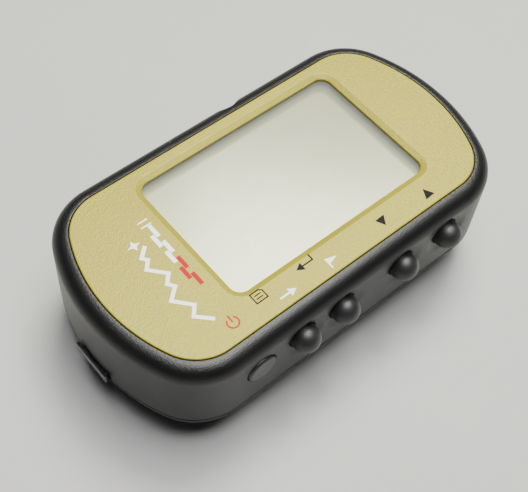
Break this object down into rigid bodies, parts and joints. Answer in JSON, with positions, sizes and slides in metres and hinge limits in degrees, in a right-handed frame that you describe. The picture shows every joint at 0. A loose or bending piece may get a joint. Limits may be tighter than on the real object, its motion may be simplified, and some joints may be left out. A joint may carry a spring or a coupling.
{
  "type": "handheld gps unit",
  "caption": "Pocket satellite navigation receiver with a gold faceplate, square display, soft black case, side push buttons, hinged battery door and strap bars.",
  "frame": {"origin": "on the resting face, below the middle of the faceplate", "axes": "+X along the case away from the emblem end, +Y away from the push buttons, +Z out of the screen"},
  "size_m": [0.0748, 0.0429, 0.0229],
  "materials": {
    "soft_black": "soft-touch coated moulding, fine stipple",
    "black_plastic": "matt moulded nylon blend",
    "faceplate_gold": "bead-textured champagne gold paint on aluminium",
    "lens_clear": "clear hard-coated acrylic",
    "gasket_black": "closed-cell foam and silicone",
    "lcd_glass": "grey-green reflective display glass",
    "white_plastic": "moulded white polycarbonate",
    "guide_clear": "clear light guide",
    "flex_amber": "polyimide film",
    "board_green": "solder-masked glass laminate",
    "shield_tin": "tinned sheet",
    "chip_black": "moulded epoxy",
    "ceramic": "fired ceramic with a silvered patch",
    "spring_steel": "nickel-plated spring steel",
    "key_rubber": "satin silicone",
    "cell_jacket": "printed foil jacket with steel ends",
    "gasket_red": "silicone",
    "gloss_black": "polished black",
    "bar_steel": "stainless tube",
    "socket_steel": "nickel-plated shell"
  },
  "bodies": {
    "case": {"front_case": "soft_black", "back_case": "black_plastic", "faceplate": "faceplate_gold", "display_lens": "lens_clear", "lens_gasket": "gasket_black", "lcd_panel": "lcd_glass", "lcd_frame": "white_plastic", "light_guide": "guide_clear", "lcd_flex": "flex_amber", "lcd_connector": "white_plastic", "main_board": "board_green", "rf_shield": "shield_tin", "board_chips": "chip_black", "gps_antenna": "ceramic", "pressure_sensor": "shield_tin", "buzzer": "chip_black", "backup_cell": "shield_tin", "tactile_switches": "chip_black", "keypad_web": "key_rubber", "usb_socket": "socket_steel", "case_gasket": "gasket_black", "case_screws": "bar_steel", "battery_a": "cell_jacket", "battery_b": "cell_jacket", "spring_contacts": "spring_steel", "plate_contacts": "spring_steel", "door_gasket": "gasket_red", "strap_bar_left": "bar_steel", "strap_bar_right": "bar_steel"},
    "power_button": {"power_button": "key_rubber"},
    "page_button": {"page_button": "key_rubber"},
    "enter_button": {"enter_button": "key_rubber"},
    "down_button": {"down_button": "key_rubber"},
    "up_button": {"up_button": "key_rubber"},
    "usb_cover": {"usb_cover": "key_rubber"},
    "battery_door": {"battery_door": "black_plastic"},
    "door_latch": {"door_latch": "gloss_black"}
  },
  "joints": [
    {"name": "power_press", "type": "slide", "parent": "case", "child": "power_button", "axis": [0, 1, 0], "range_m": [0, 0.0006], "stiffness_N_per_m": 2500},
    {"name": "page_press", "type": "slide", "parent": "case", "child": "page_button", "axis": [0, 1, 0], "range_m": [0, 0.0006], "stiffness_N_per_m": 2500},
    {"name": "enter_press", "type": "slide", "parent": "case", "child": "enter_button", "axis": [0, 1, 0], "range_m": [0, 0.0006], "stiffness_N_per_m": 2500},
    {"name": "down_press", "type": "slide", "parent": "case", "child": "down_button", "axis": [0, 1, 0], "range_m": [0, 0.0006], "stiffness_N_per_m": 2500},
    {"name": "up_press", "type": "slide", "parent": "case", "child": "up_button", "axis": [0, 1, 0], "range_m": [0, 0.0006], "stiffness_N_per_m": 2500},
    {"name": "door_hinge", "type": "hinge", "parent": "case", "child": "battery_door", "pos_m": [0.0268, 0, 0.0013], "axis": [0, -1, 0], "range_deg": [0, 95]},
    {"name": "latch_slide", "type": "slide", "parent": "case", "child": "door_latch", "axis": [-1, 0, 0], "range_m": [0, 0.0018]},
    {"name": "usb_cover_hinge", "type": "hinge", "parent": "case", "child": "usb_cover", "pos_m": [0.0053, 0.0196, 0.0094], "axis": [-1, 0, 0], "range_deg": [0, 95], "stiffness_Nm_per_rad": 0.0004}
  ]
}
